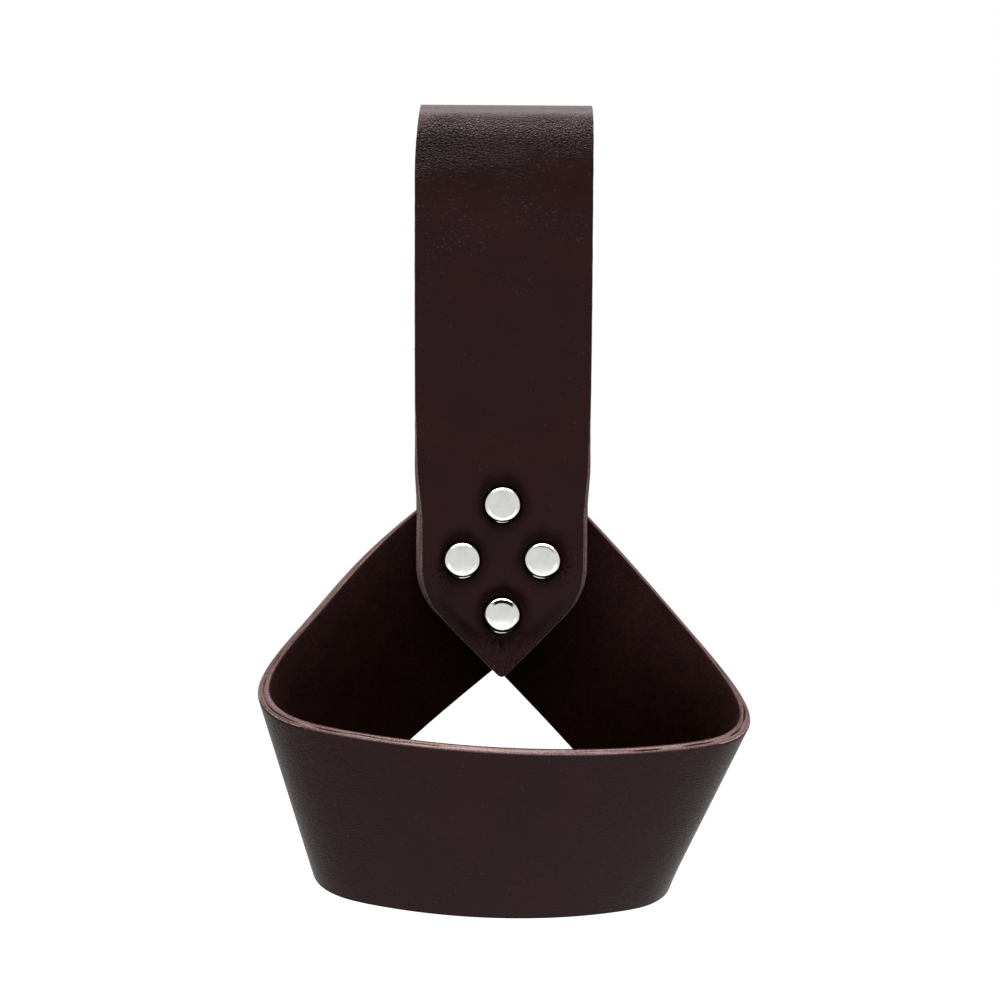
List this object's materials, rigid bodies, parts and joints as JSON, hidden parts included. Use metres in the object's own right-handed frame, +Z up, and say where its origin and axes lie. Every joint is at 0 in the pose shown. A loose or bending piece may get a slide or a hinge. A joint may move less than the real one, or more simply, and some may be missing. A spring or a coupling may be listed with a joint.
{
  "type": "leather cup holder",
  "caption": "Belt-hung leather cup holder: a flared ring of bent strap, its pointed ends crossed and riveted between the leaves of a folded belt loop.",
  "frame": {"origin": "inside the crown of the belt loop, at mid width, where the belt's top edge bears", "axes": "+Z up, +Y towards the wearer's hip, +X to the viewer's right when the pointed flap faces the viewer"},
  "size_m": [0.1338, 0.0717, 0.2235],
  "materials": {
    "belt_loop_leather": "dark brown, low sheen, fine grain",
    "cup_ring_leather": "dark brown, low sheen, fine grain, paler cut edges",
    "nickel": "bright nickel plate",
    "rivet_steel": "dull nickel plate"
  },
  "bodies": {
    "root": {"belt_loop_strap": "belt_loop_leather", "cup_ring_strap": "cup_ring_leather", "rivet_top_front_cap": "nickel", "rivet_top_front_socket": "rivet_steel", "rivet_top_rear_cap": "nickel", "rivet_top_rear_post": "rivet_steel", "rivet_left_front_cap": "nickel", "rivet_left_front_socket": "rivet_steel", "rivet_left_rear_cap": "nickel", "rivet_left_rear_post": "rivet_steel", "rivet_right_front_cap": "nickel", "rivet_right_front_socket": "rivet_steel", "rivet_right_rear_cap": "nickel", "rivet_right_rear_post": "rivet_steel", "rivet_bottom_front_cap": "nickel", "rivet_bottom_front_socket": "rivet_steel", "rivet_bottom_rear_cap": "nickel", "rivet_bottom_rear_post": "rivet_steel"}
  },
  "joints": []
}
